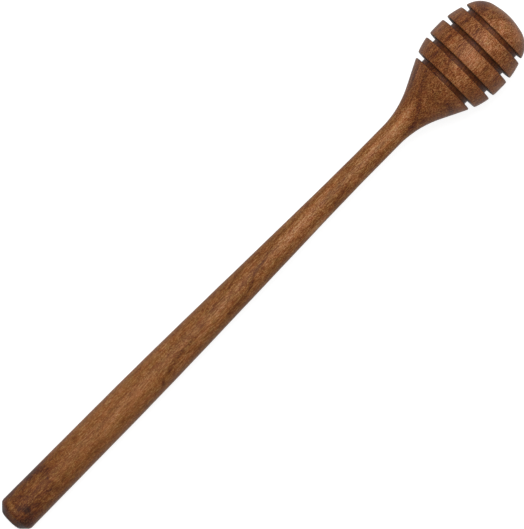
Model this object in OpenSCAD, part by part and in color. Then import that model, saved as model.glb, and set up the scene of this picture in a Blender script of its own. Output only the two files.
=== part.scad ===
// Honey dipper, turned from one stick of hardwood and shown lying on a table.
// The stick keeps its grain from end to end: no joint, pin or glue line crosses it.
// Its turned features are drawn as separate solids that meet face to face on planes across the axis,
// so that the grooves, which carry the honey, stay open between simple round slices.

/* [Overall] */
// Length from the butt of the handle to the tip of the head
total_len = 250; // [200:1:320]
// Diameter of the head at its widest place
head_d = 31.5; // [26:0.1:38]
// Diameter of the grip at the butt
grip_d = 14.3; // [11.5:0.1:18]
// Diameter of the waist, where the handle is slimmest
waist_d = 8.8; // [7:0.1:10.6]

/* [Handle] */
// Length of the nearly cylindrical grip
grip_len = 72; // [50:1:90]
// How much slimmer the grip is at its front end than at the butt
grip_taper = 0.85; // [0:0.05:2]
// Length of the slim stretch behind the flare
waist_len = 31; // [20:1:45]
// Radius of the long curves where the handle's tapers meet
taper_blend_r = 2500; // [500:50:4000]
// Length of the bevel round the butt
bevel_len = 3; // [1:0.1:4]
// Radius that eases both edges of the bevel
bevel_ease = 2; // [0.3:0.1:3]

/* [Flare] */
// Angle between the cone behind the head and the axis
cone_angle = 26.4; // [20:0.1:34]
// Radius of the cove that opens the waist into the cone
cove_r = 36; // [15:1:60]

/* [Head] */
// Widths of the rings, from the handle to the tip
ring_w = [5.75, 6.55, 5.85]; // [4:0.05:9]
// Length of the domed tip in front of the last groove
tip_len = 7.7; // [5:0.05:12]
// Length of the straight band round the widest place
crown_len = 2; // [0:0.1:4]
// Radius of the swell behind the widest place
swell_back_r = 26.5; // [15:0.5:36]
// Radius of the swell in front of the widest place
swell_front_r = 31.5; // [20:0.5:44]
// Angle at which the head closes in before the dome
closing_angle = 18.7; // [12:0.1:28]
// Radius of the dome's shoulder
shoulder_r = 9.2; // [3:0.1:12]
// Radius of the shallow cap over the end of the dome
cap_r = 24; // [12:0.5:60]
// Slope of the cap where it meets the shoulder, from a plane across the axis
cap_angle = 12; // [4:0.1:20]

/* [Grooves] */
// Width of the parting tool's cut
groove_w = 1.8; // [1:0.05:2.6]
// Depths of the cuts below the head's surface, from the handle to the tip
groove_depth = [2.9, 2.8, 3.3, 2.3]; // [1:0.05:5]
// Radius that eases the edges of the rings and grooves
edge_ease = 0.4; // [0.1:0.05:0.8]

/* [Hidden] */
$fn = 96;

head_r = head_d / 2;
grip_r = grip_d / 2;
grip_end_r = (grip_d - grip_taper) / 2;
waist_r = waist_d / 2;

// Turn between two chords of a drawn arc, and the fewest chords that an arc gets
arc_step = 3;
arc_chords = 6;
// The same for an arc under small_arc_r, which is too small for its chords to show
small_arc_r = 2;
small_arc_step = 15;
small_arc_chords = 3;
// Largest share of a side that the blend at one of its ends may take, and the cap's share
blend_share = 0.49;
cap_share = 0.48;
// Points of the cap this near to the axis give way to the tip's own end point
axis_margin = 0.01;

// Where each groove starts, measured along the axis from the butt
ring_count = len(ring_w);
groove_count = ring_count + 1;
function sum(v, n, i = 0) = i < n ? v[i] + sum(v, n, i + 1) : 0;
first_groove = total_len - tip_len - groove_count * groove_w - sum(ring_w, ring_count);
groove_at = [for (i = [0 : groove_count - 1]) first_groove + i * groove_w + sum(ring_w, i)];

// The head is widest at the middle of its middle ring
middle_ring = floor(ring_count / 2);
crown_at = groove_at[middle_ring] + groove_w + ring_w[middle_ring] / 2;

// Corners of the outline before they are blended, as [distance along the axis, radius]
cone_top = [crown_at - crown_len / 2 - swell_back_r * tan(cone_angle / 2), head_r];
cone_foot = [cone_top.x - (head_r - waist_r) / tan(cone_angle), waist_r];
slim_start = [cone_foot.x - waist_len, waist_r];
slimmest_at = (slim_start.x + cone_foot.x) / 2;
grip_end = [grip_len, grip_end_r];
bevel_top = [bevel_len, grip_r];
bevel_foot = [0, grip_r - bevel_len];
butt_centre = [0, 0];
closing_top = [crown_at + crown_len / 2 + swell_front_r * tan(closing_angle / 2), head_r];
closing_way = [cos(closing_angle), -sin(closing_angle)];
cap_way = [-sin(cap_angle), cos(cap_angle)];
tip_end = [total_len, 0];
cap_room = cap_share * norm(meeting_point(closing_top, closing_way, tip_end, cap_way) - tip_end);
cap_fit_r = min(cap_r, cap_room / tan(cap_angle));
nose = tip_end + [cap_fit_r * (1 / cos(cap_angle) - 1), 0];
shoulder = meeting_point(closing_top, closing_way, nose, cap_way);
shoulder_below_axis = [shoulder.x, -shoulder.y];

corners = [butt_centre, bevel_foot, bevel_top, grip_end, slim_start, cone_foot, cone_top,
    closing_top, shoulder, nose, shoulder_below_axis];
blend_radii = [0, bevel_ease, bevel_ease, taper_blend_r, taper_blend_r, cove_r, swell_back_r,
    swell_front_r, shoulder_r, cap_fit_r, 0];

// Outline of the stick before the grooves are cut, from the edge of the butt to the tip
blends = [for (i = [1 : len(corners) - 2])
    each blended(corners[i - 1], corners[i], corners[i + 1], blend_radii[i])];
blank = concat([for (p = blends) if (p.y > axis_margin) p], [tip_end]);

// Where two lines meet, each given by a point on it and its direction
function meeting_point(a, a_dir, b, b_dir) = a + a_dir * cross(b - a, b_dir) / cross(a_dir, b_dir);

function unit(v) = v / norm(v);

function turned_by(v, angle) = [v.x * cos(angle) - v.y * sin(angle), v.x * sin(angle) + v.y * cos(angle)];

// Points of the arc that blends the corner at b, between a and c, with radius r or the largest that fits
function blended(a, b, c, r) =
    let (
        back = unit(a - b),
        ahead = unit(c - b),
        half = acos(back * ahead) / 2,
        reach = min(r / tan(half), blend_share * min(norm(a - b), norm(c - b))),
        arc_r = reach * tan(half),
        centre = b + unit(back + ahead) * arc_r / sin(half),
        side = sign(cross(ahead, back)),
        turn = 180 - 2 * half,
        chords = arc_r < small_arc_r ? max(small_arc_chords, ceil(turn / small_arc_step))
            : max(arc_chords, ceil(turn / arc_step))
    )
    [for (i = [0 : chords]) centre + turned_by(b + back * reach - centre, side * turn * i / chords)];

// Radius of the blank at a distance x along the axis
function blank_r(x) = lookup(x, blank);

// How the dipper lies: on the edge of its butt and on its widest ring, which lifts the head
butt_edge = [for (p = blank) if (p.x < grip_len / 2) p];
swell = [for (p = blank) if (p.x > cone_top.x) p];
rest_tilt = min([for (e = butt_edge) max([for (s = swell) atan2(s.y - e.y, s.x - e.x)])]);
axis_rise = max([for (p = blank) p.y * cos(rest_tilt) - p.x * sin(rest_tilt)]);
back_end = min([for (p = blank) p.x * cos(rest_tilt) - p.y * sin(rest_tilt)]);
front_end = max([for (p = blank) p.x * cos(rest_tilt) + p.y * sin(rest_tilt)]);

// Puts a shape turned about +Z on the table, with the origin below the middle of its length
module lay_down() {
    translate([-(back_end + front_end) / 2, 0, axis_rise])
        rotate([0, 90 - rest_tilt, 0])
            children();
}

// Half outline of one slice of the blank, with plane ends and the ends' edges eased where asked
module slice_outline(from, to, ease_from = 0, ease_to = 0) {
    inner = [for (p = blank) if (p.x > from + 2 * ease_from && p.x < to - 2 * ease_to) p];
    from_edge = [from, blank_r(from)];
    to_edge = [to, blank_r(to)];
    from_arc = ease_from > 0 ? blended([from, 0], from_edge, inner[0], ease_from) : [from_edge];
    to_arc = ease_to > 0 ? blended(inner[len(inner) - 1], to_edge, [to, 0], ease_to) : [to_edge];
    polygon([for (p = concat([[from, 0]], from_arc, inner, to_arc, [[to, 0]])) [p.y, p.x]]);
}

// Handle: the grip with its bevelled butt, and the long taper to the slimmest place
module handle() {
    color("#8a5a36") lay_down() rotate_extrude() slice_outline(0, slimmest_at);
}

// Neck: from the slimmest place through the cove and the cone, up to the first groove
module neck() {
    color("#8f5f39") lay_down() rotate_extrude()
        slice_outline(slimmest_at, groove_at[0], ease_to = edge_ease);
}

// Core: the wood that is left at the bottom of each groove
module core() {
    color("#5d3a20") lay_down()
        for (i = [0 : groove_count - 1])
            translate([0, 0, groove_at[i]])
                cylinder(h = groove_w, r = blank_r(groove_at[i] + groove_w / 2) - groove_depth[i]);
}

// Ring: one of the discs that stand between the grooves
module ring(i) {
    color("#96633c") lay_down() rotate_extrude()
        slice_outline(groove_at[i] + groove_w, groove_at[i + 1], edge_ease, edge_ease);
}

// Tip: the domed end of the head, in front of the last groove
module tip() {
    color("#8f5f39") lay_down() rotate_extrude()
        slice_outline(groove_at[groove_count - 1] + groove_w, total_len, ease_from = edge_ease);
}

handle();
neck();
core();
for (i = [0 : ring_count - 1]) {
    ring(i);
}
tip();
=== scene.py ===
import math

import bpy
import numpy as np
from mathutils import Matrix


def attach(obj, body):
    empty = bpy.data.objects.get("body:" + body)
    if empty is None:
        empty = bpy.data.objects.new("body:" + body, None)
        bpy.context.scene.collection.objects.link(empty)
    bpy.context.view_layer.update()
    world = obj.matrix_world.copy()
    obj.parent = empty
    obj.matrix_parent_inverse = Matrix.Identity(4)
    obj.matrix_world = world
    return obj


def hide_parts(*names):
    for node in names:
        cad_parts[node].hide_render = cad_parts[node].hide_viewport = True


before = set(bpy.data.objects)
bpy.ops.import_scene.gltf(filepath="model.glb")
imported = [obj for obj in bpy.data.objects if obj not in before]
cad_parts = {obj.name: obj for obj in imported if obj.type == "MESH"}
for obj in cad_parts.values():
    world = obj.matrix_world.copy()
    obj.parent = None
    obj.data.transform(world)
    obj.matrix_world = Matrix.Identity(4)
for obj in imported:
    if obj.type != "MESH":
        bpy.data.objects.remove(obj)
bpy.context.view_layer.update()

# ---- Handle ----
# The whole dipper is one stick of teak, turned between centres, sanded and oiled. Its handle is a
# nearly cylindrical grip with a bevelled butt, which tapers to the slimmest place behind the flare.
# Sizes are in mm, and places along the stick are measured from the butt.

TOTAL_LEN = 250.0
HEAD_D, GRIP_D, WAIST_D = 31.5, 14.3, 8.8
# The grip loses a little of its diameter before the long taper starts
GRIP_THINS = 0.85
HEAD_R, GRIP_R, WAIST_R = HEAD_D / 2, GRIP_D / 2, WAIST_D / 2
GRIP_END_R = (GRIP_D - GRIP_THINS) / 2
GRIP_LEN = 72.0
WAIST_LEN = 31.0
TAPER_BLEND_R = 2500.0
BEVEL_LEN = 3.0
BEVEL_EASE = 2.0

# The flare and the head are one sweep of the gouge with the handle, so the outline covers them too
CONE_ANGLE = math.radians(26.4)
COVE_R = 36.0
CROWN_AT = 229.575
CROWN_LEN = 2.0
SWELL_BACK_R = 26.5
SWELL_FRONT_R = 31.5
CLOSING_ANGLE = math.radians(18.7)
SHOULDER_R = 9.2
CAP_R = 24.0
CAP_ANGLE = math.radians(12.0)

# An arc is drawn in steps of a degree or less. It takes up no more than a little under half of each
# side of its corner, so that it never meets the next one.
FINEST_TURN = math.radians(1.0)
FEWEST_STEPS = 6
BLEND_SHARE = 0.49
CAP_SHARE = 0.48


def blended(back_point, corner, ahead_point, radius):
    """Points of the arc that blends a corner of the outline."""
    back = (back_point - corner) / np.linalg.norm(back_point - corner)
    ahead = (ahead_point - corner) / np.linalg.norm(ahead_point - corner)
    half = math.acos(float(np.clip(back @ ahead, -1, 1))) / 2
    shorter_side = min(np.linalg.norm(back_point - corner), np.linalg.norm(ahead_point - corner))
    reach = min(radius / math.tan(half), BLEND_SHARE * shorter_side)
    arc_r = reach * math.tan(half)
    middle = back + ahead
    centre = corner + middle / np.linalg.norm(middle) * arc_r / math.sin(half)
    side = np.sign(ahead[0] * back[1] - ahead[1] * back[0])
    turn = math.pi - 2 * half
    steps = max(FEWEST_STEPS, math.ceil(turn / FINEST_TURN))
    arm = corner + back * reach - centre
    points = []
    for i in range(steps + 1):
        a = side * turn * i / steps
        points.append(centre + [arm[0] * math.cos(a) - arm[1] * math.sin(a),
                                arm[0] * math.sin(a) + arm[1] * math.cos(a)])
    return points


def crossing(a, a_way, b, b_way):
    """Where two lines of the outline meet."""
    def cross(u, v):
        return u[0] * v[1] - u[1] * v[0]
    return a + a_way * cross(b - a, b_way) / cross(a_way, b_way)


# Corners of the outline, as (distance along the axis, radius), before they are blended
cone_top = np.array([CROWN_AT - CROWN_LEN / 2 - SWELL_BACK_R * math.tan(CONE_ANGLE / 2), HEAD_R])
cone_foot = np.array([cone_top[0] - (HEAD_R - WAIST_R) / math.tan(CONE_ANGLE), WAIST_R])
slim_start = np.array([cone_foot[0] - WAIST_LEN, WAIST_R])
slimmest_at = (slim_start[0] + cone_foot[0]) / 2
closing_top = np.array([CROWN_AT + CROWN_LEN / 2 + SWELL_FRONT_R * math.tan(CLOSING_ANGLE / 2),
                        HEAD_R])
closing_way = np.array([math.cos(CLOSING_ANGLE), -math.sin(CLOSING_ANGLE)])
cap_way = np.array([-math.sin(CAP_ANGLE), math.cos(CAP_ANGLE)])
tip_end = np.array([TOTAL_LEN, 0.0])
cap_edge = crossing(closing_top, closing_way, tip_end, cap_way)
cap_room = CAP_SHARE * np.linalg.norm(cap_edge - tip_end)
cap_r = min(CAP_R, cap_room / math.tan(CAP_ANGLE))
nose = tip_end + [cap_r * (1 / math.cos(CAP_ANGLE) - 1), 0]
shoulder = crossing(closing_top, closing_way, nose, cap_way)

corners = [
    (np.array([0.0, 0.0]), 0),
    (np.array([0.0, GRIP_R - BEVEL_LEN]), BEVEL_EASE),
    (np.array([BEVEL_LEN, GRIP_R]), BEVEL_EASE),
    (np.array([GRIP_LEN, GRIP_END_R]), TAPER_BLEND_R),
    (slim_start, TAPER_BLEND_R),
    (cone_foot, COVE_R),
    (cone_top, SWELL_BACK_R),
    (closing_top, SWELL_FRONT_R),
    (shoulder, SHOULDER_R),
    (nose, cap_r),
    (shoulder * [1, -1], 0),
]
blank = []
for i in range(1, len(corners) - 1):
    blank += blended(corners[i - 1][0], corners[i][0], corners[i + 1][0], corners[i][1])
# The cap's arc goes on past the axis, and is kept only up to this close to it
NEAR_AXIS = 0.01
blank = np.array([p for p in blank if p[1] > NEAR_AXIS] + [tip_end])


def blank_r(x):
    """Radius of the stick before the grooves are cut."""
    return float(np.interp(x, blank[:, 0], blank[:, 1]))


# The dipper lies on the edge of its butt and on its widest ring
butt_edge = blank[blank[:, 0] < GRIP_LEN / 2]
swell = blank[blank[:, 0] > cone_top[0]]
lie_angle = min(max(math.atan2(s[1] - e[1], s[0] - e[0]) for s in swell) for e in butt_edge)
axis_rise = float(np.max(blank[:, 1] * math.cos(lie_angle) - blank[:, 0] * math.sin(lie_angle)))
back_end = float(np.min(blank[:, 0] * math.cos(lie_angle) - blank[:, 1] * math.sin(lie_angle)))
front_end = float(np.max(blank[:, 0] * math.cos(lie_angle) + blank[:, 1] * math.sin(lie_angle)))
axis_start = (-(back_end + front_end) / 2, 0.0, axis_rise)


def add(tree, kind, feeds=(), stops=(), **settings):
    """Adds a node with its settings and, on a colour ramp, its stops. Gives its outputs.

    Its inputs are fed with values or with other nodes' outputs, in their order or by their names.
    Where several inputs share a name, as on a Mix node, they go by their numbers.
    """
    node = tree.nodes.new(kind)
    for name, value in settings.items():
        setattr(node, name, value)
    for _ in stops[2:]:
        node.color_ramp.elements.new(0.5)
    for i, (place, colour) in enumerate(stops):
        node.color_ramp.elements[i].position = place
        node.color_ramp.elements[i].color = colour
    for socket, value in feeds.items() if isinstance(feeds, dict) else enumerate(feeds):
        if isinstance(value, bpy.types.NodeSocket):
            tree.links.new(value, node.inputs[socket])
        else:
            node.inputs[socket].default_value = value
    return node.outputs


# Turning a piece: each facet round the lathe's axis carries a copy of the outline. They go round
# the way that makes the faces point outwards. Points that come this close, in metres, become one.
SAME_POINT = 1e-6
lathe = bpy.data.node_groups.new("Turned on the lathe", "GeometryNodeTree")
lathe.is_modifier = True
ports = {}
for name, kind in (("Outline", "Geometry"), ("Facets round", "Int"), ("Sanding waves", "Float"),
                   ("Wave length", "Float"), ("Lie angle", "Float"), ("Axis start", "Vector"),
                   ("Wood", "Material")):
    ports[name] = lathe.interface.new_socket(name, in_out="INPUT", socket_type="NodeSocket" + kind)
lathe.interface.new_socket("Turned piece", in_out="OUTPUT", socket_type="NodeSocketGeometry")
given = add(lathe, "NodeGroupInput")
points = add(lathe, "GeometryNodeAttributeDomainSize", (given["Outline"],))["Point Count"]
columns = add(lathe, "ShaderNodeMath", (given["Facets round"], 1.0), operation="ADD")[0]
sheet = add(lathe, "GeometryNodeMeshGrid", {"Vertices X": points, "Vertices Y": columns})["Mesh"]
index = add(lathe, "GeometryNodeInputIndex")[0]
row = add(lathe, "ShaderNodeMath", (index, columns), operation="DIVIDE")[0]
row = add(lathe, "ShaderNodeMath", (row,), operation="FLOOR")[0]
column = add(lathe, "ShaderNodeMath", (index, columns), operation="MODULO")[0]
place = add(lathe, "GeometryNodeInputPosition")[0]
on_outline = add(lathe, "GeometryNodeSampleIndex",
                 {"Geometry": given["Outline"], "Value": place, "Index": row},
                 data_type="FLOAT_VECTOR")[0]
on_outline = add(lathe, "ShaderNodeSeparateXYZ", (on_outline,))
angle = add(lathe, "ShaderNodeMath", (column, given["Facets round"]), operation="DIVIDE")[0]
angle = add(lathe, "ShaderNodeMath", (angle, -2 * math.pi), operation="MULTIPLY")[0]
outward_y = add(lathe, "ShaderNodeMath", (angle,), operation="COSINE")[0]
outward_z = add(lathe, "ShaderNodeMath", (angle,), operation="SINE")[0]
outward = add(lathe, "ShaderNodeCombineXYZ", {"Y": outward_y, "Z": outward_z})[0]
on_axis = add(lathe, "ShaderNodeCombineXYZ", (on_outline["X"],))[0]
spun = add(lathe, "ShaderNodeVectorMath", {"Vector": outward, "Scale": on_outline["Z"]},
           operation="SCALE")[0]
spun = add(lathe, "ShaderNodeVectorMath", (spun, on_axis), operation="ADD")[0]
body = add(lathe, "GeometryNodeSetPosition", {"Geometry": sheet, "Position": spun})[0]
body = add(lathe, "GeometryNodeMergeByDistance", {"Geometry": body, "Distance": SAME_POINT})[0]

# Hand sanding leaves the surface a few hundredths of a millimetre out of round. Both in metres.
SANDING_WAVES = 0.00012
WAVE_LENGTH = 0.009
waves_per_metre = add(lathe, "ShaderNodeMath", (1.0, given["Wave length"]), operation="DIVIDE")[0]
ripple = add(lathe, "ShaderNodeTexNoise",
             {"Vector": place, "Scale": waves_per_metre, "Detail": 2.0})[0]
ripple = add(lathe, "ShaderNodeMath", (ripple, 0.5), operation="SUBTRACT")[0]
ripple = add(lathe, "ShaderNodeMath", (ripple, given["Sanding waves"]), operation="MULTIPLY")[0]
off_axis = add(lathe, "ShaderNodeVectorMath", (place, (0, 1, 1)), operation="MULTIPLY")[0]
off_axis = add(lathe, "ShaderNodeVectorMath", (off_axis,), operation="NORMALIZE")[0]
ripple = add(lathe, "ShaderNodeVectorMath", {"Vector": off_axis, "Scale": ripple},
             operation="SCALE")[0]
body = add(lathe, "GeometryNodeSetPosition", {"Geometry": body, "Offset": ripple})[0]

# Shading is smooth except across the edges that the parting tool and the butt's cut left
SHARP_EDGE = math.radians(25)
edge_turn = add(lathe, "GeometryNodeInputMeshEdgeAngle")["Unsigned Angle"]
soft_edge = add(lathe, "FunctionNodeCompare", (edge_turn, SHARP_EDGE),
                data_type="FLOAT", operation="LESS_THAN")[0]
body = add(lathe, "GeometryNodeSetShadeSmooth", {"Geometry": body}, domain="FACE")[0]
body = add(lathe, "GeometryNodeSetShadeSmooth", {"Geometry": body, "Shade Smooth": soft_edge},
           domain="EDGE")[0]
down = add(lathe, "ShaderNodeMath", (given["Lie angle"], -1.0), operation="MULTIPLY")[0]
lie = add(lathe, "ShaderNodeCombineXYZ", {"Y": down})[0]
body = add(lathe, "GeometryNodeTransform",
           {"Geometry": body, "Translation": given["Axis start"], "Rotation": lie})[0]
body = add(lathe, "GeometryNodeRealizeInstances", (body,))[0]
body = add(lathe, "GeometryNodeSetMaterial", {"Geometry": body, "Material": given["Wood"]})[0]
add(lathe, "NodeGroupOutput", (body,))


def linear(hex_colour):
    """An sRGB hex colour as the linear colour that Blender works in."""
    parts = [int(hex_colour[i:i + 2], 16) / 255 for i in (1, 3, 5)]
    return [p / 12.92 if p <= 0.04045 else ((p + 0.055) / 1.055) ** 2.4 for p in parts] + [1.0]


# Teak, turned, sanded along the grain and oiled. Its growth layers run nearly along the handle, so
# they show there as long slanting streaks, and the head's curve cuts them into nested ovals. Short
# pores hold dark oil. Tones go from 0, late wood soaked with oil, to 1, pale early wood.
TEAK_TONES = ((-0.4, "#37190a"), (0.0, "#4f240b"), (0.25, "#5c3010"), (0.5, "#6d3e17"),
              (0.75, "#7d4c23"), (1.0, "#915d33"), (1.2, "#9f6b40"))
DARKEST, PALEST = TEAK_TONES[0][0], TEAK_TONES[-1][0]
MM_IN_METRE = 1000

oiled_teak = bpy.data.materials.new("oiled teak, turned and sanded")
oiled_teak.use_nodes = True
wood = oiled_teak.node_tree
wood.nodes.clear()
where = add(wood, "ShaderNodeTexCoord")["Object"]
# Millimetres along the stick from its butt, across it and up from its axis
lie_cos, lie_sin = math.cos(lie_angle), math.sin(lie_angle)
stick = add(wood, "ShaderNodeMapping", {
    "Vector": where, "Scale": [MM_IN_METRE] * 3, "Rotation": (0, lie_angle, 0),
    "Location": (-(axis_start[0] * lie_cos + axis_start[2] * lie_sin), 0,
                 -(-axis_start[0] * lie_sin + axis_start[2] * lie_cos))}, vector_type="POINT")[0]


def grain(size, detail, roughness=0.5, shift=0.0):
    """Blotches of this many mm along the stick, across it and up, as one value and as three.

    The shift keeps one kind of blotch from falling in with the others.
    """
    at = add(wood, "ShaderNodeMapping",
             {"Vector": stick, "Scale": [1 / s for s in size], "Location": [shift] * 3})[0]
    return add(wood, "ShaderNodeTexNoise",
               {"Vector": at, "Scale": 1.0, "Detail": detail, "Roughness": roughness})


# Noise seldom leaves this range
LOW, HIGH = 0.3, 0.7

# Everything in the figure wavers, by up to a millimetre along the stick and less across it
WAVER_SIZE = (26, 6, 6)
WAVER_BY = (2.0, 0.8, 0.8)
waver = grain(WAVER_SIZE, detail=3.0)["Color"]
waver = add(wood, "ShaderNodeVectorMath", (waver, (0.5, 0.5, 0.5)), operation="SUBTRACT")[0]
wavered = add(wood, "ShaderNodeVectorMath", (waver, WAVER_BY, stick), operation="MULTIPLY_ADD")[0]
along, _, up = add(wood, "ShaderNodeSeparateXYZ", (wavered,))

# How light the handle's wood is, as (mm from the butt, tone). The butt drank more oil.
LIGHTNESS = ((0, -0.24), (3, -0.12), (10, 0.36), (20, 0.36), (28, 0.68), (40, 0.78), (60, 0.78),
             (100, 0.73), (123, 0.68), (140, 0.76), (150, 0.78), (200, 0.83))
share_along = add(wood, "ShaderNodeMath", (along, TOTAL_LEN), operation="DIVIDE")[0]
handle_tone = add(wood, "ShaderNodeValToRGB", (share_along,),
                  [(s / TOTAL_LEN, (t, t, t, 1)) for s, t in LIGHTNESS])[0]

# Ribbons of lighter and darker layers, 2 to 3 mm wide, run slanting along it
RIBBONS_PER_MM = (-0.1, 0.4, 0.12)
RIBBON_TONE = 0.08
slant = add(wood, "ShaderNodeVectorMath", (wavered, RIBBONS_PER_MM),
            operation="DOT_PRODUCT")["Value"]
ribbons = add(wood, "ShaderNodeTexNoise", {"W": slant, "Scale": 1.0, "Detail": 3.0},
              noise_dimensions="1D")[0]
ribbons = add(wood, "ShaderNodeMapRange", (ribbons, LOW, HIGH, -RIBBON_TONE, RIBBON_TONE))[0]
handle_tone = add(wood, "ShaderNodeMath", (handle_tone, ribbons), operation="ADD")[0]

# The head's layers, as (mm above the axis at their crown, tone). They dome over the head: each one
# drops by 15.2 mm, the square of 3.9, in the 60 mm behind its crown, and by 10.5 mm, the square of
# 3.24, on its way to the tip. They lean a little to one side.
LAYERS = ((6, 0.58), (12, 0.54), (13.2, 0.60), (14.5, 0.65), (15.3, 0.75), (16.4, 0.82),
          (18.5, 0.88))
HIGHEST = 20.0
LAYERS_CROWN = 230.3
BEHIND_LEN = 60
DROP_BEHIND_ROOT = 3.9
DROP_AHEAD_ROOT = 3.24
LAYERS_LEAN = -0.15
behind = add(wood, "ShaderNodeMapRange",
             (along, LAYERS_CROWN, LAYERS_CROWN - BEHIND_LEN, 0.0, DROP_BEHIND_ROOT))[0]
ahead = add(wood, "ShaderNodeMapRange",
            (along, LAYERS_CROWN, TOTAL_LEN, 0.0, DROP_AHEAD_ROOT))[0]
layer_at = add(wood, "ShaderNodeVectorMath", (wavered, (0.0, LAYERS_LEAN, 1.0)),
               operation="DOT_PRODUCT")["Value"]
layer_at = add(wood, "ShaderNodeMath", (behind, behind, layer_at), operation="MULTIPLY_ADD")[0]
layer_at = add(wood, "ShaderNodeMath", (ahead, ahead, layer_at), operation="MULTIPLY_ADD")[0]
layer_share = add(wood, "ShaderNodeMath", (layer_at, HIGHEST), operation="DIVIDE")[0]
head_tone = add(wood, "ShaderNodeValToRGB", (layer_share,),
                [(h / HIGHEST, (t, t, t, 1)) for h, t in LAYERS])[0]

# Deeper down, where the list gives out, layers of 2 to 3 mm come by chance
DEEP_TONES = (0.14, 0.74)
DEEP_PER_MM = 0.42
LIST_FROM, LIST_FULL = 4.5, 7.0
deep_tone = add(wood, "ShaderNodeTexNoise", {"W": layer_at, "Scale": DEEP_PER_MM, "Detail": 2.0},
                noise_dimensions="1D")[0]
deep_tone = add(wood, "ShaderNodeMapRange", (deep_tone, LOW, HIGH, *DEEP_TONES))[0]
depth_share = add(wood, "ShaderNodeMapRange", (layer_at, LIST_FROM, LIST_FULL),
                  interpolation_type="SMOOTHSTEP")[0]
head_tone = add(wood, "ShaderNodeMix", {0: depth_share, 2: deep_tone, 3: head_tone},
                data_type="FLOAT")[0]

# Growth lines less than a millimetre apart run through all of them
GROWTH_TONE = 0.11
GROWTH_PER_MM = 1.5
growth = add(wood, "ShaderNodeTexNoise",
             {"W": layer_at, "Scale": GROWTH_PER_MM, "Detail": 2.0, "Roughness": 0.6},
             noise_dimensions="1D")[0]
growth = add(wood, "ShaderNodeMapRange", (growth, LOW, HIGH, -GROWTH_TONE, GROWTH_TONE))[0]
head_tone = add(wood, "ShaderNodeMath", (head_tone, growth), operation="ADD")[0]

# The handle's figure gives way to the head's where the flare starts
HEAD_FROM, HEAD_FULL = 192.0, 206.0
head_share = add(wood, "ShaderNodeMapRange", (along, HEAD_FROM, HEAD_FULL),
                 interpolation_type="SMOOTHSTEP")[0]
tone = add(wood, "ShaderNodeMix", {0: head_share, 2: handle_tone, 3: head_tone},
           data_type="FLOAT")[0]

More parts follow.
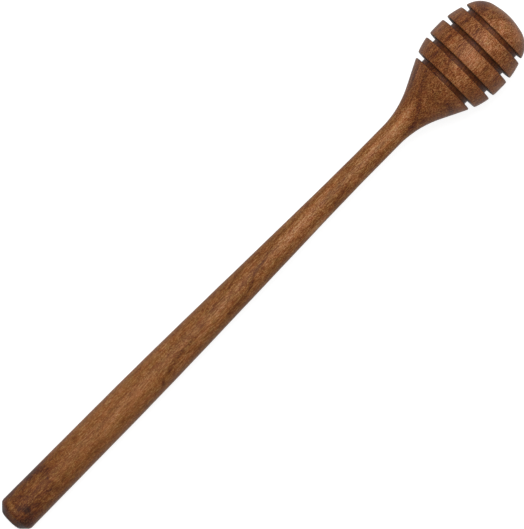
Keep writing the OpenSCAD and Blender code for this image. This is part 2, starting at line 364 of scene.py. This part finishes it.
# Streaks and patches of this one stick, on its upper side: mm along it and across it to the middle
# of each, half its length and width, its slope in degrees, and how much it changes the tone there.
# Each fades out towards its edge, and reaches right through the stick. They end below its axis, so
# the underside has the noise alone. A few of them, marked below, are painted light and shade.
STREAKS = (
    # Butt
    (3.5, -4.4, 8, 3.0, 0, -0.50), (7.6, -1.4, 2.3, 3.6, 0, -0.80),
    (10.8, -2.5, 3.2, 1.7, -20, -0.52), (9.2, -4.2, 2.4, 1.2, 0, -0.20),
    (4.6, 3.6, 4.6, 1.8, 86, 0.66), (2.2, 0.8, 2.6, 1.2, 90, 0.66), (5.6, -1.6, 2.0, 0.7, 90, 0.30),
    (6.2, -4.0, 1.6, 0.5, 90, 0.20), (9.0, 6.9, 8, 1.0, 0, -0.60), (1.2, 3.8, 2.2, 1.2, 50, -0.40),
    # Knot
    (8.8, 3.9, 2.9, 1.0, -40, -0.34), (9.2, 2.2, 1.4, 0.7, -30, -0.30),
    (12.0, 4.8, 2.0, 0.8, 0, -0.36), (13.6, 3.2, 1.6, 0.6, 0, -0.26),
    (15.3, 2.6, 3.2, 1.2, -25, 0.20), (12.5, 0.4, 4.0, 0.8, -30, -0.16),
    (16.8, -1.9, 4.2, 1.1, -12, -0.34), (18.6, -2.3, 1.6, 0.8, 0, -0.34),
    (17.8, 1.3, 1.3, 1.0, 0, -0.38), (15.0, -0.2, 3.4, 0.7, -10, 0.14),
    (20.8, 0.8, 2.6, 0.6, 84, -0.34), (22.2, -0.6, 3.0, 1.3, -60, 0.34),
    (22.2, 3.4, 2.8, 1.6, 15, -0.34), (21.5, 4.8, 3.4, 1.4, 0, -0.30),
    (17.5, 6.4, 6.5, 1.9, 0, -0.80), (24.5, 6.2, 4.5, 1.0, 0, -0.30), (16, -4.4, 6, 1.4, -12, 0.26),
    (9.6, 5.6, 4.5, 0.7, 5, 0.18),
    # Grip
    (36.8, 4.5, 2.6, 0.9, 10, -0.34), (39, -3.8, 8, 3.0, 10, -0.22),
    (30.5, -3.2, 5, 1.2, 12, -0.14), (51, 1.5, 12, 0.9, 8, -0.20), (50, -1.2, 8, 2.2, 8, 0.18),
    (56.5, 0.2, 6, 1.2, 12, 0.20), (53, -4, 4, 1.2, 15, -0.18), (28, -4.6, 4, 1.4, 0, -0.16),
    (47, 5.2, 20, 1.4, 0, 0.10), (62, 4.2, 16, 2.6, 0, 0.06), (66, -0.6, 10, 2.4, 5, 0.14),
    (64, 2.6, 9, 0.8, 6, -0.12),
    # Middle of the handle
    (73.2, -4.1, 3.0, 1.2, 46, -0.50), (78.5, -2.7, 6, 1.2, 6, -0.46),
    (83.5, -1.5, 5, 1.1, 10, -0.36), (82, 4.6, 12, 1.2, -2, 0.16), (92, -0.9, 8, 1.2, 6, -0.26),
    (100.5, 0.9, 7, 1.0, 11, -0.26), (108, 2.2, 8, 1.0, 8, -0.24), (88, 1.9, 5, 1.4, 5, -0.24),
    (80, 1.0, 6, 0.7, 8, -0.12), (95, -2.6, 7, 1.0, 14, 0.16), (86.6, -3.9, 2.0, 0.9, 0, 0.16),
    (104, -0.6, 9, 1.6, 8, 0.30), (110, -3.6, 8, 1.9, 10, -0.28), (117.5, 3.9, 6.5, 0.8, 6, -0.32),
    (114, 2.9, 3, 0.6, 0, -0.20), (116, 1.2, 8, 1.3, 10, 0.14), (115.5, -3.1, 4.5, 1.3, 20, -0.26),
    (120.5, -1.2, 6.0, 1.0, 23, -0.50), (127, 0.6, 6, 1.0, 12, -0.54),
    (133, 1.9, 5, 0.8, 16, -0.40), (139, 3.1, 5, 0.8, 5, -0.34), (145, 3.2, 6, 0.6, 0, -0.34),
    (125, -2.4, 8, 1.0, 12, 0.12), (132, -2.9, 4, 0.7, 10, -0.22), (122, 3.1, 7, 0.9, 6, 0.12),
    # The pale streak along the lower edge at 150 mm is painted light bounced up from the table.
    (144, 0.4, 20, 2.6, 3, 0.26), (150, -4.1, 9, 1.2, 2, 0.60), (154, 3.6, 4, 0.7, 0, -0.20),
    (160, 2.2, 12, 1.2, -1, 0.16),
    # Slim end of the handle
    (164, -2.4, 8, 2.4, 8, -0.34), (160.3, -3.1, 3.4, 1.4, 24, -0.26),
    (167.3, 0.6, 3.4, 1.0, 4, -0.30), (172, 1.4, 5, 0.8, 8, -0.14), (186, 1.2, 18, 0.9, 2, 0.28),
    (178, 0.1, 10, 0.6, 4, 0.18), (183, 2.7, 16, 0.6, 0, -0.16), (180, -2.5, 14, 1.6, 2, -0.26),
    (198, -3.2, 7, 1.6, 4, -0.38), (190, -0.6, 10, 0.6, 2, 0.12),
    # Cone. The dark streaks along its upper edge, 9.4 and 10.4 mm across, are painted shade.
    (198.5, 1.4, 10, 2.3, 8, 0.46), (199, -3.0, 7, 1.6, 4, -0.42),
    (204.3, -0.5, 5.5, 1.6, 34, -0.40), (209.6, 3.6, 5.5, 1.7, 34, -0.48),
    (214.5, 6.3, 4.5, 1.2, 26, -0.40), (207, 4.9, 7, 0.6, 27, -0.24), (206, 5.9, 8, 0.5, 25, 0.27),
    (210.5, 8.2, 9, 0.7, 26, -0.42), (213, 8.6, 6, 0.5, 25, 0.33), (212, 9.4, 6, 0.5, 26, -0.24),
    (209.5, 6.2, 6, 0.5, 27, 0.24), (211.5, 10.4, 7, 0.8, 26, -0.30),
    (214.8, -3.8, 4.4, 1.9, 85, 0.22), (215.2, -9.4, 4, 1.5, 76, 0.34),
    (211.8, -8.6, 5.6, 1.8, 66, -0.46), (202.8, -4.5, 2.6, 1.5, 0, -0.50),
    (208, -5.6, 3.5, 1.0, -24, 0.14), (211.5, -0.6, 3.2, 1.2, -10, -0.14),
    (208.5, 0.3, 4, 0.7, 34, 0.18),
    # First ring
    (221.5, 9.0, 4.8, 1.2, 4, -0.52), (221.5, 11.6, 4.5, 0.7, 5, -0.24),
    (221.5, 5.4, 4.5, 2.8, 10, -0.14), (221.6, 2.9, 5.5, 0.9, 22, -0.34),
    (223.6, 1.0, 2.8, 2.0, 30, 0.30), (221.5, -3, 4, 4.4, 0, 0.20),
    (221.2, -10.0, 4.4, 1.8, 0, -0.16), (221.5, 12.8, 4.5, 0.5, 4, 0.24),
    # Second ring
    (229.5, 11.4, 4.8, 0.6, 0, -0.24), (229.5, 12.6, 4.8, 0.7, 0, 0.21),
    (229.5, 14.2, 4.8, 0.7, 0, 0.42), (229.5, 9.6, 4.8, 0.7, -2, -0.36),
    (229.4, 7.4, 4.8, 1.5, 0, 0.42), (229.5, 4.7, 4.8, 0.8, 0, -0.22),
    (229.6, -1.0, 4.8, 5.6, 0, 0.34), (229.6, -7.4, 4.8, 1.2, 0, -0.18),
    (230, -10.4, 4.8, 1.8, 0, 0.26), (229.5, -14.6, 4.8, 1.4, 0, 0.3),
    # Third ring
    (237.6, 12.4, 4.8, 0.7, -4, -0.30), (237.8, 9.4, 4.8, 1.0, -4, -0.56),
    (237.6, 13.6, 4.8, 0.6, -4, 0.24), (237.6, 7.4, 4.8, 1.2, 0, 0.12),
    (237.6, 4.2, 4.8, 0.8, -2, -0.36), (237.6, -0.8, 4.8, 4.8, 0, 0.24),
    (237.4, -7.2, 4.8, 1.4, 0, -0.26), (237.4, -14, 4.8, 1.8, 0, 0.3),
    # Tip. Its pale patch at 247.2 mm along and 6.4 mm below the axis is partly paler wood and
    # partly painted light, bounced from the table, with a painted highlight.
    (244.4, 8.0, 3.6, 2.0, -20, -0.60), (246.4, 9.8, 3.8, 2.2, -35, -0.60),
    (245.4, 2.9, 4.6, 0.9, -38, -0.50), (248.0, -0.6, 4.0, 0.9, -62, -0.44),
    (247.0, 3.8, 5, 1.8, -48, -0.26), (247.6, 6.0, 4.4, 0.6, -48, 0.27),
    (246.0, 0.2, 4.6, 0.5, -42, 0.24), (248.6, 4.6, 3.6, 0.5, -55, -0.30),
    (244.8, -1.6, 3.4, 3.6, 0, 0.20), (247.2, -6.4, 4.4, 2.4, 60, 0.28),
    (248.6, -5.6, 2.6, 0.7, 70, -0.36),
)
RIGHT_THROUGH = 1e4
UPPER_FROM, UPPER_FULL = -4.0, 0.5
streaks = 0.0
for s, y, half_length, half_width, slope, change in STREAKS:
    within = add(wood, "ShaderNodeMapping", {
        "Vector": wavered, "Location": (s, y, 0), "Rotation": (0, 0, math.radians(slope)),
        "Scale": (half_length, half_width, RIGHT_THROUGH)}, vector_type="TEXTURE")[0]
    within = add(wood, "ShaderNodeTexGradient", (within,), gradient_type="SPHERICAL")["Fac"]
    within = add(wood, "ShaderNodeMapRange", (within, 0.0, 1.0, 0.0, change),
                 interpolation_type="SMOOTHSTEP")[0]
    streaks = add(wood, "ShaderNodeMath", (within, streaks), operation="ADD")[0]
upper_side = add(wood, "ShaderNodeMapRange", (up, UPPER_FROM, UPPER_FULL),
                 interpolation_type="SMOOTHSTEP")[0]
tone = add(wood, "ShaderNodeMath", (streaks, upper_side, tone), operation="MULTIPLY_ADD")[0]

# Mottling a few mm wide
MOTTLE_SIZE = (6.0, 2.0, 2.0)
MOTTLE_TONE = 0.09
mottle = grain(MOTTLE_SIZE, detail=3.0, roughness=0.6, shift=9.1)[0]
mottle = add(wood, "ShaderNodeMapRange", (mottle, 0.25, 0.75, -MOTTLE_TONE, MOTTLE_TONE))[0]
tone = add(wood, "ShaderNodeMath", (tone, mottle), operation="ADD")[0]
tone_share = add(wood, "ShaderNodeMapRange", (tone, DARKEST, PALEST))[0]
colour = add(wood, "ShaderNodeValToRGB", (tone_share,),
             [((t - DARKEST) / (PALEST - DARKEST), linear(c)) for t, c in TEAK_TONES])[0]

# Fibres and pores are 0.05 to 0.3 mm across in teak. They are drawn 0.3 to 0.4 mm across, so that
# they show. Fibres look like light and dark flecks, stronger on the head, where the turning cuts
# them at a slant: FLECKS is their strength, as (mm from the butt, strength).
FIBRE_SIZE = (2.4, 0.36, 0.36)
SPECKLE_SIZE = (0.4, 0.3, 0.3)
SPECKLE_SHARE = 0.6
FLECKS = ((0, 1.35), (20, 1.35), (26, 1.0), (75, 1.05), (82, 1.3), (196, 1.4), (208, 1.6),
          (224, 1.8), (227, 1.6), (233, 1.6), (236, 1.9), (241, 1.9), (243, 2.3))
# A fleck's value and the gamma that it gives the wood. Under 1 is lighter, over 1 is darker.
LIGHT_FLECK, LIGHT_GAMMA = -0.16, 0.65
DARK_FLECK, DARK_GAMMA = 0.25, 1.55
fibre = grain(FIBRE_SIZE, detail=1.0)[0]
speckle = grain(SPECKLE_SIZE, detail=1.0, roughness=0.8, shift=11.7)[0]
fleck = add(wood, "ShaderNodeMix", {0: SPECKLE_SHARE, 2: fibre, 3: speckle}, data_type="FLOAT")[0]
strength = add(wood, "ShaderNodeValToRGB", (share_along,),
               [(s / TOTAL_LEN, (c, c, c, 1)) for s, c in FLECKS])[0]
fleck = add(wood, "ShaderNodeMath", (0.5, fleck), operation="SUBTRACT")[0]
fleck = add(wood, "ShaderNodeMath", (fleck, strength), operation="MULTIPLY")[0]
fleck = add(wood, "ShaderNodeMapRange",
            (fleck, LIGHT_FLECK, DARK_FLECK, LIGHT_GAMMA, DARK_GAMMA))[0]
colour = add(wood, "ShaderNodeGamma", (colour, fleck))[0]

# Only the tops of this noise are pores, and the oil in them lets some of the wood show through
PORE_SIZE = (1.6, 0.42, 0.42)
PORE_FROM, PORE_FULL = 0.6, 0.68
OIL_COVERS = 0.25
OIL_COLOUR = "#3a2012"
pore = grain(PORE_SIZE, detail=1.0, roughness=0.4, shift=5.9)[0]
pore = add(wood, "ShaderNodeMapRange", (pore, PORE_FROM, PORE_FULL),
           interpolation_type="SMOOTHSTEP")[0]
pore_share = add(wood, "ShaderNodeMath", (pore, OIL_COVERS), operation="MULTIPLY")[0]
colour = add(wood, "ShaderNodeMix", {0: pore_share, 6: colour, 7: linear(OIL_COLOUR)},
             data_type="RGBA")[2]

# A little more red here, more olive there, and the head a little darker and redder than the handle
TINT_SIZE = (3.2, 1.6, 1.6)
TINT_LEAST, TINT_MOST = (0.91, 0.93, 0.92), (1.09, 1.07, 1.08)
HEAD_TINT = (0.98, 0.88, 0.88, 1)
tint = grain(TINT_SIZE, detail=3.0, roughness=0.7, shift=2.3)["Color"]
tint = add(wood, "ShaderNodeMapRange",
           {6: tint, 7: [LOW] * 3, 8: [HIGH] * 3, 9: TINT_LEAST, 10: TINT_MOST},
           data_type="FLOAT_VECTOR")[1]
colour = add(wood, "ShaderNodeVectorMath", (colour, tint), operation="MULTIPLY")[0]
redder = add(wood, "ShaderNodeMix", {0: head_share, 6: (1, 1, 1, 1), 7: HEAD_TINT},
             data_type="RGBA", clamp_factor=True)[2]
colour = add(wood, "ShaderNodeVectorMath", (colour, redder), operation="MULTIPLY")[0]

# Faces cut across the grain, in the grooves and at the butt, are darkened, partly as end grain that
# soaks up oil and partly as painted shade, set deep enough for the shaded walls of the grooves. On
# the head the eased edges that face the tip are darkened too, but the domed tip itself, which is
# sanded finer, isn't.
FRONT_EDGES = 0.2
ACROSS_FROM, ACROSS_FULL = 0.55, 0.95
ACROSS_DARKENS = 0.9
ACROSS_COLOUR = "#3c2c20"
TIP_FROM, TIP_FULL = 243.0, 245.0
normal = add(wood, "ShaderNodeNewGeometry")["Normal"]
facing = add(wood, "ShaderNodeVectorMath", (normal, (lie_cos, 0, lie_sin)),
             operation="DOT_PRODUCT")["Value"]
facing = add(wood, "ShaderNodeMath", (head_share, FRONT_EDGES, facing),
             operation="MULTIPLY_ADD")[0]
facing = add(wood, "ShaderNodeMath", (facing,), operation="ABSOLUTE")[0]
# Darkening of oil-soaked end grain, and painted shade on the grooves' walls
end_grain_and_shade = add(wood, "ShaderNodeMapRange",
                (facing, ACROSS_FROM, ACROSS_FULL, 0.0, ACROSS_DARKENS),
                interpolation_type="SMOOTHSTEP")[0]
behind_tip = add(wood, "ShaderNodeMapRange", (along, TIP_FROM, TIP_FULL, 1.0, 0.0))[0]
end_grain_and_shade = add(wood, "ShaderNodeMath", (end_grain_and_shade, behind_tip), operation="MULTIPLY")[0]
colour = add(wood, "ShaderNodeMix", {0: end_grain_and_shade, 6: colour, 7: linear(ACROSS_COLOUR)},
             data_type="RGBA", blend_type="MULTIPLY")[2]

# Fibres stand proud by less than 0.1 mm and pores are sunk. The dried oil has a low, soft sheen,
# a little duller on some fibres than on others.
RELIEF = 0.0001
PORES_SINK = -0.6
SLEEKEST, DULLEST = 0.46, 0.58
relief = add(wood, "ShaderNodeMath", (pore, PORES_SINK, fibre), operation="MULTIPLY_ADD")[0]
bump = add(wood, "ShaderNodeBump", {"Strength": 0.35, "Distance": RELIEF, "Height": relief})[0]
roughness = add(wood, "ShaderNodeMapRange", (fibre, LOW, HIGH, SLEEKEST, DULLEST))[0]
finish = add(wood, "ShaderNodeBsdfPrincipled", {
    "Base Color": colour, "Roughness": roughness, "IOR": 1.42, "Specular IOR Level": 0.2,
    "Normal": bump})[0]
add(wood, "ShaderNodeOutputMaterial", (finish,))


def turn_piece(name, outline, facets, teak):
    """Turns an outline of (distance along the axis, radius), in mm, into a piece of the dipper."""
    rod = bpy.data.meshes.new(name)
    rod.from_pydata([(x / MM_IN_METRE, 0, r / MM_IN_METRE) for x, r in outline],
                    [(i, i + 1) for i in range(len(outline) - 1)], [])
    piece = bpy.data.objects.new(name, rod)
    bpy.context.scene.collection.objects.link(piece)
    turning = piece.modifiers.new("Turned on the lathe", "NODES")
    turning.node_group = lathe
    for port, value in (("Facets round", facets), ("Sanding waves", SANDING_WAVES),
                        ("Wave length", WAVE_LENGTH), ("Lie angle", lie_angle),
                        ("Axis start", [v / MM_IN_METRE for v in axis_start]), ("Wood", teak)):
        turning[ports[port].identifier] = value
    evaluated = piece.evaluated_get(bpy.context.evaluated_depsgraph_get())
    turned = bpy.data.meshes.new_from_object(evaluated)
    piece.modifiers.remove(turning)
    piece.data = turned
    bpy.data.meshes.remove(rod)
    turned.name = name
    return piece


def finely(points, longest):
    """The outline with more points on its long stretches."""
    fine = [points[0]]
    for a, b in zip(points, points[1:]):
        steps = max(1, math.ceil(math.hypot(b[0] - a[0], b[1] - a[1]) / longest))
        fine += [(a[0] + (b[0] - a[0]) * i / steps, a[1] + (b[1] - a[1]) * i / steps)
                 for i in range(1, steps + 1)]
    return fine


# Points of an outline lie no closer and no further apart than this
SHORTEST_STEP = 0.004
LONGEST_STEP = 0.8


def slice_of_stick(start, end, ease_start=0.0, ease_end=0.0):
    """Outline of one slice of the stick, with plane ends whose edges are eased where asked."""
    inner = [tuple(p) for p in blank if start + 2 * ease_start < p[0] < end - 2 * ease_end]
    first, last = np.array([start, blank_r(start)]), np.array([end, blank_r(end)])
    first_arc, last_arc = [first], [last]
    if ease_start:
        first_arc = blended(np.array([start, 0.0]), first, np.array(inner[0]), ease_start)
    if ease_end:
        last_arc = blended(np.array(inner[-1]), last, np.array([end, 0.0]), ease_end)
    points = [(start, 0.0), *map(tuple, first_arc), *inner, *map(tuple, last_arc), (end, 0.0)]
    clean = [points[0]]
    for p in points[1:]:
        if math.hypot(p[0] - clean[-1][0], p[1] - clean[-1][1]) > SHORTEST_STEP:
            clean.append(p)
    return finely(clean, LONGEST_STEP)


HANDLE_FACETS = 160
handle = turn_piece("turned_handle", slice_of_stick(0.0, slimmest_at), HANDLE_FACETS, oiled_teak)
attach(handle, "root")
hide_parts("handle")

# ---- Neck ----
# The same stick, from the slimmest place through the cove and the cone. The cove is cut with a
# gouge, and the cone's front edge is eased by the sandpaper that cleaned the first groove.

RING_W = (5.75, 6.55, 5.85)
GROOVE_W = 1.8
TIP_LEN = 7.7
EDGE_EASE = 0.4
HEAD_FACETS = 192
groove_at = [TOTAL_LEN - TIP_LEN - (len(RING_W) + 1) * GROOVE_W - sum(RING_W)]
for width in RING_W:
    groove_at.append(groove_at[-1] + GROOVE_W + width)

neck_outline = slice_of_stick(slimmest_at, groove_at[0], ease_end=EDGE_EASE)
neck = turn_piece("turned_neck", neck_outline, HEAD_FACETS, oiled_teak)
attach(neck, "root")
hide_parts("neck")

# ---- Core ----
# The teak that is left at the bottom of the four grooves. A thin parting tool cuts them, so the
# floors are flat. They are darker than the rings, partly for the oil trapped in them and partly as
# painted shade of the narrow grooves.

GROOVE_DEPTH = (2.9, 2.8, 3.3, 2.3)
FLOOR_STEP = 0.6
FLOOR_OIL_AND_SHADE_COLOUR = "#c8ae86"
parted_teak = oiled_teak.copy()
parted_teak.name = "oiled teak, parted across the grain"
parted = parted_teak.node_tree
shader = next(n for n in parted.nodes if n.type == "BSDF_PRINCIPLED")
sanded_colour = shader.inputs["Base Color"].links[0].from_socket
# Oil in the floors and painted shade of the grooves darken them
darker = add(parted, "ShaderNodeMix", {0: 1.0, 6: sanded_colour, 7: linear(FLOOR_OIL_AND_SHADE_COLOUR)},
             data_type="RGBA", blend_type="MULTIPLY")[2]
parted.links.new(darker, shader.inputs["Base Color"])

drums = []
for i, (at, depth) in enumerate(zip(groove_at, GROOVE_DEPTH)):
    floor_r = blank_r(at + GROOVE_W / 2) - depth
    drum = [(at, 0.0), (at, floor_r), (at + GROOVE_W, floor_r), (at + GROOVE_W, 0.0)]
    drums.append(turn_piece(f"core_{i + 1}", finely(drum, FLOOR_STEP), HEAD_FACETS, parted_teak))
core = drums[0]
with bpy.context.temp_override(active_object=core, selected_editable_objects=drums):
    bpy.ops.object.join()
core.name = "groove_floors"
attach(core, "root")
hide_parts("core")

# ---- Rings ----
# Three discs of the same stick stand between the grooves and hold the honey. Their faces are cut
# across the grain, and their edges are eased by hand.

for i, width in enumerate(RING_W):
    start = groove_at[i] + GROOVE_W
    ring_outline = slice_of_stick(start, start + width, EDGE_EASE, EDGE_EASE)
    ring = turn_piece(f"head_ring_{i + 1}", ring_outline, HEAD_FACETS, oiled_teak)
    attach(ring, "root")
    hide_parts(f"ring_{i + 1}")

# ---- Tip ----
# The domed end of the head, of the same teak. The stick is parted off here last, and the stub that
# this leaves is sanded away until the end grain is as smooth as the sides.

tip_outline = slice_of_stick(groove_at[-1] + GROOVE_W, TOTAL_LEN, ease_start=EDGE_EASE)
tip = turn_piece("domed_tip", tip_outline, HEAD_FACETS, oiled_teak)
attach(tip, "root")
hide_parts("tip")

# ---- Table and light ----
# A white table under a wide soft box, which hangs a little towards the picture's top, with a weak
# fill from its lower right.

TABLE_HALF = 4
table_mesh = bpy.data.meshes.new("table")
table_mesh.from_pydata([(-TABLE_HALF, -TABLE_HALF, 0), (TABLE_HALF, -TABLE_HALF, 0),
                        (TABLE_HALF, TABLE_HALF, 0), (-TABLE_HALF, TABLE_HALF, 0)],
                       [], [(0, 1, 2, 3)])
table = bpy.data.objects.new("table", table_mesh)
bpy.context.scene.collection.objects.link(table)


def seen_white(tree):
    """1 for the rays of the camera, of gloss and of glass, 0 for those that light the dipper."""
    seen = add(tree, "ShaderNodeLightPath")
    white = add(tree, "ShaderNodeMath", (seen["Is Camera Ray"], seen["Is Glossy Ray"]),
                operation="MAXIMUM")[0]
    return add(tree, "ShaderNodeMath", (white, seen["Is Transmission Ray"]),
               operation="MAXIMUM")[0]


# White paint with no sheen. It is grey to the dipper, so that little light comes back up to the
# dipper's sides, as in the photo, and the camera, gloss and glass see it lit up to white.
TABLE_COLOUR = "#9a9a9a"
TABLE_GLOW = 0.86
white_table = bpy.data.materials.new("matt white paint, sprayed")
white_table.use_nodes = True
paint = white_table.node_tree
paint.nodes.clear()
matt = add(paint, "ShaderNodeBsdfDiffuse", {"Color": linear(TABLE_COLOUR)})[0]
glow = add(paint, "ShaderNodeMath", (seen_white(paint), TABLE_GLOW), operation="MULTIPLY")[0]
glow = add(paint, "ShaderNodeEmission", {"Color": (1, 1, 1, 1), "Strength": glow})[0]
both = add(paint, "ShaderNodeAddShader", (matt, glow))[0]
add(paint, "ShaderNodeOutputMaterial", (both,))
table_mesh.materials.append(white_table)

# The room's own light is dim, and the camera, gloss and glass see it as white as the table
ROOM_LIGHT = 0.28
studio = bpy.data.worlds.new("studio")
bpy.context.scene.world = studio
studio.use_nodes = True
room = studio.node_tree
room.nodes.clear()
light = add(room, "ShaderNodeMapRange", (seen_white(room), 0.0, 1.0, ROOM_LIGHT, 1.0))[0]
sky = add(room, "ShaderNodeBackground", ((1, 1, 1, 1), light))[0]
add(room, "ShaderNodeOutputWorld", (sky,))

# The lamps' names, places and widths in metres, and watts. Each faces the middle of the dipper.
LAMPS = (("soft box, overhead", (0.32, 0.38, 1.46), 0.9, 20.0),
         ("fill", (0.2, -1.0, 1.6), 1.6, 2.0))
for name, place, width, watts in LAMPS:
    lamp = bpy.data.lights.new(name, "AREA")
    lamp.shape = "SQUARE"
    lamp.size = width
    lamp.energy = watts
    box = bpy.data.objects.new(name, lamp)
    bpy.context.scene.collection.objects.link(box)
    box.location = place
    box.rotation_euler = (0, math.acos(place[2] / math.hypot(*place)),
                          math.atan2(place[1], place[0]))

# ---- Camera ----
# It looks straight down, from five times the dipper's length, so the rings' rims bow a little
# towards the tip. The roll lays the dipper along the picture's diagonal.

CAMERA_HEIGHT = 1.25
FRAME_CENTRE = (0.00202, 0.00038)
ROLL = math.radians(-45.331)
SENSOR_HEIGHT = 24.0
# The picture takes in the camera's height divided by this from top to bottom, which is 188 mm
LENS_BY_SENSOR = 6.6455
lens = bpy.data.cameras.new("camera")
lens.sensor_fit = "VERTICAL"
lens.sensor_height = SENSOR_HEIGHT
lens.lens = LENS_BY_SENSOR * SENSOR_HEIGHT
lens.clip_end = 20
camera = bpy.data.objects.new("camera", lens)
bpy.context.scene.collection.objects.link(camera)
camera.location = (*FRAME_CENTRE, CAMERA_HEIGHT)
camera.rotation_euler = (0, 0, ROLL)
bpy.context.scene.camera = camera

bpy.context.scene.view_settings.view_transform = "Standard"

bpy.context.view_layer.update()
